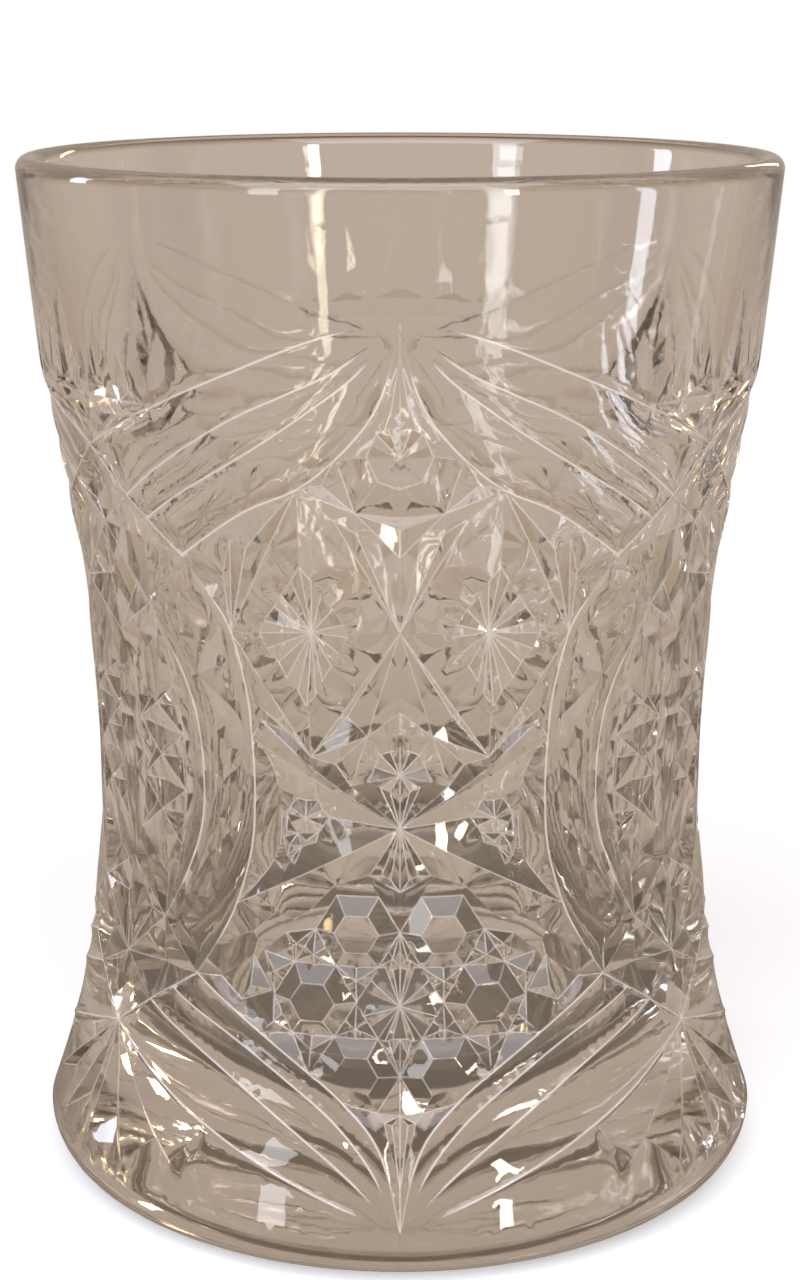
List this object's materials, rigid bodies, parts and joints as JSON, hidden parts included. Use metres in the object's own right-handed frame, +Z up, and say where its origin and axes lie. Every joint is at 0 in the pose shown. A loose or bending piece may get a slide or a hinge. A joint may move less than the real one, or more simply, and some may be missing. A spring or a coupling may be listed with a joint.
{
  "type": "whiskey tumbler",
  "caption": "Waisted pressed-glass tumbler with a plain rim band, a cut-look pattern of interlaced pointed ovals and a thick flared foot.",
  "frame": {"origin": "centre of the flat ring that the tumbler stands on", "axes": "+Z up along the axis the body is turned about, -Y through the middle of one panel"},
  "size_m": [0.0724, 0.0726, 0.1],
  "materials": {
    "clear_glass": "gloss"
  },
  "bodies": {
    "root": {"glass_body": "clear_glass"}
  },
  "joints": []
}
